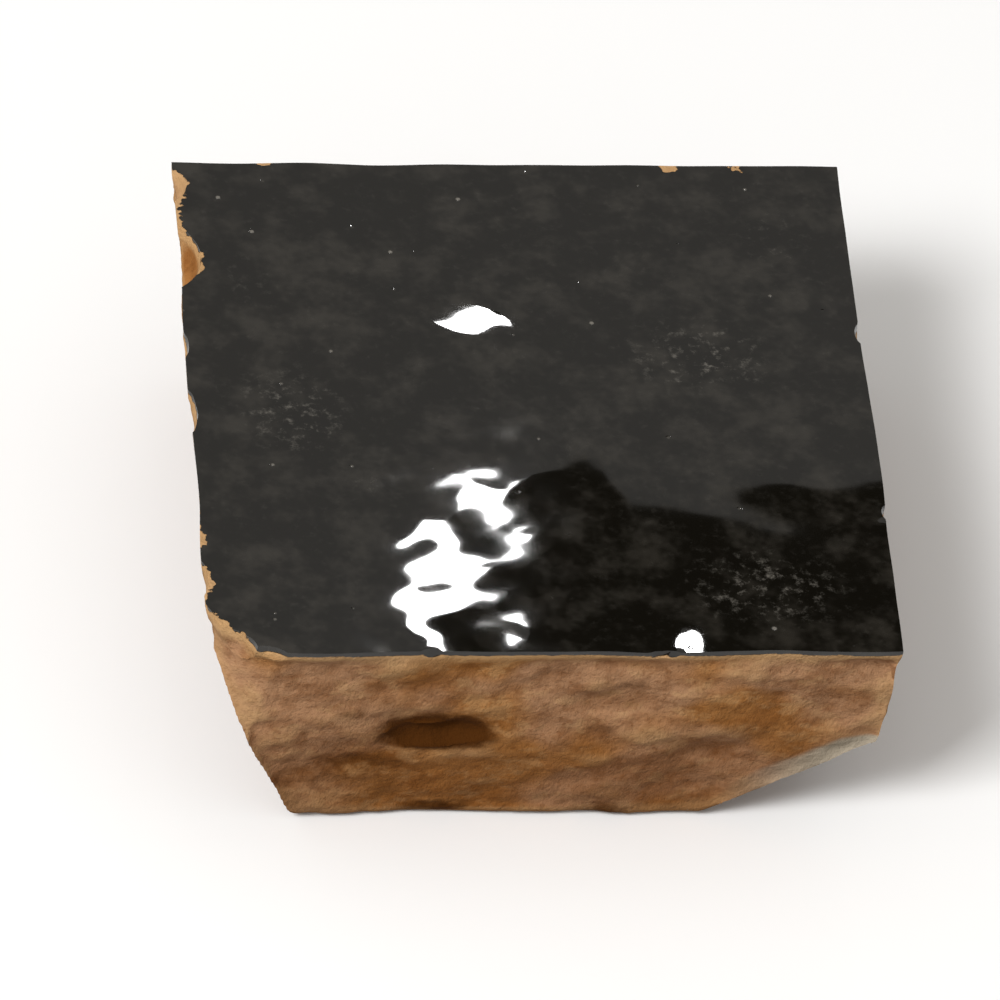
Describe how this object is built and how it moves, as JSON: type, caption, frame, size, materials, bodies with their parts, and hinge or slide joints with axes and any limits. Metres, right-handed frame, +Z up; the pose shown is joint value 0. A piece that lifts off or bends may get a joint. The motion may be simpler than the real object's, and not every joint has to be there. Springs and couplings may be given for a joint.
{
  "type": "zellige tile",
  "caption": "Square hand-cut zellige tile: a thick fired clay slab with a glossy black glazed face and rough chiselled sides that lean in to a smaller flat back.",
  "frame": {"origin": "on the floor under the middle of the tile, in the plane of its flat back", "axes": "+Z up through the glazed face, -Y towards the front edge, +X to the right of a person who faces that edge"},
  "size_m": [0.0516, 0.0508, 0.017],
  "materials": {
    "glazed_clay": "gloss"
  },
  "bodies": {
    "root": {"glazed_tile": "glazed_clay"}
  },
  "joints": []
}
